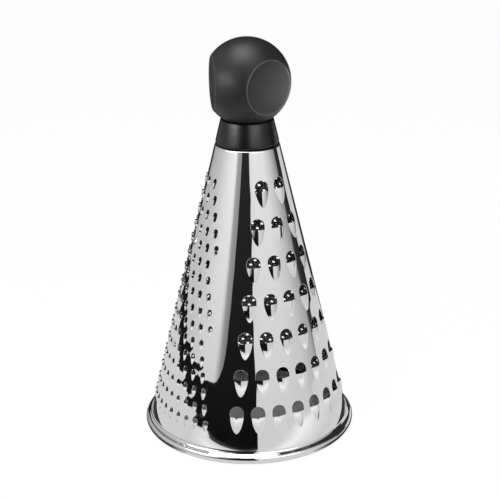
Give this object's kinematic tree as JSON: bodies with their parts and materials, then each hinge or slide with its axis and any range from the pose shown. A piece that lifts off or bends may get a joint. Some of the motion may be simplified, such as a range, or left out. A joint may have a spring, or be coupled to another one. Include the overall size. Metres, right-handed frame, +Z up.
{
  "type": "cone grater",
  "caption": "Conical kitchen grater: a punched steel cone with a rolled rim, open at its foot, under a black collar and a round soft-touch knob with finger flats.",
  "frame": {"origin": "on the ground in the middle of the rim", "axes": "+Z up the cone's axis to the knob, -Y out of the coarse teeth"},
  "size_m": [0.1248, 0.125, 0.2331],
  "materials": {
    "steel": "mirror-polished stainless sheet",
    "collar": "fine grain",
    "soft_cover": "satin soft-touch",
    "core": "moulded",
    "brass": "turned",
    "zinc": "zinc plated"
  },
  "bodies": {
    "root": {"grater_cone": "steel", "collar": "collar", "knob_cover": "soft_cover", "knob_core": "core", "threaded_insert": "brass", "clamp_plug": "core", "flat_washer": "zinc", "spring_washer": "zinc", "fixing_screw": "zinc"}
  },
  "joints": []
}
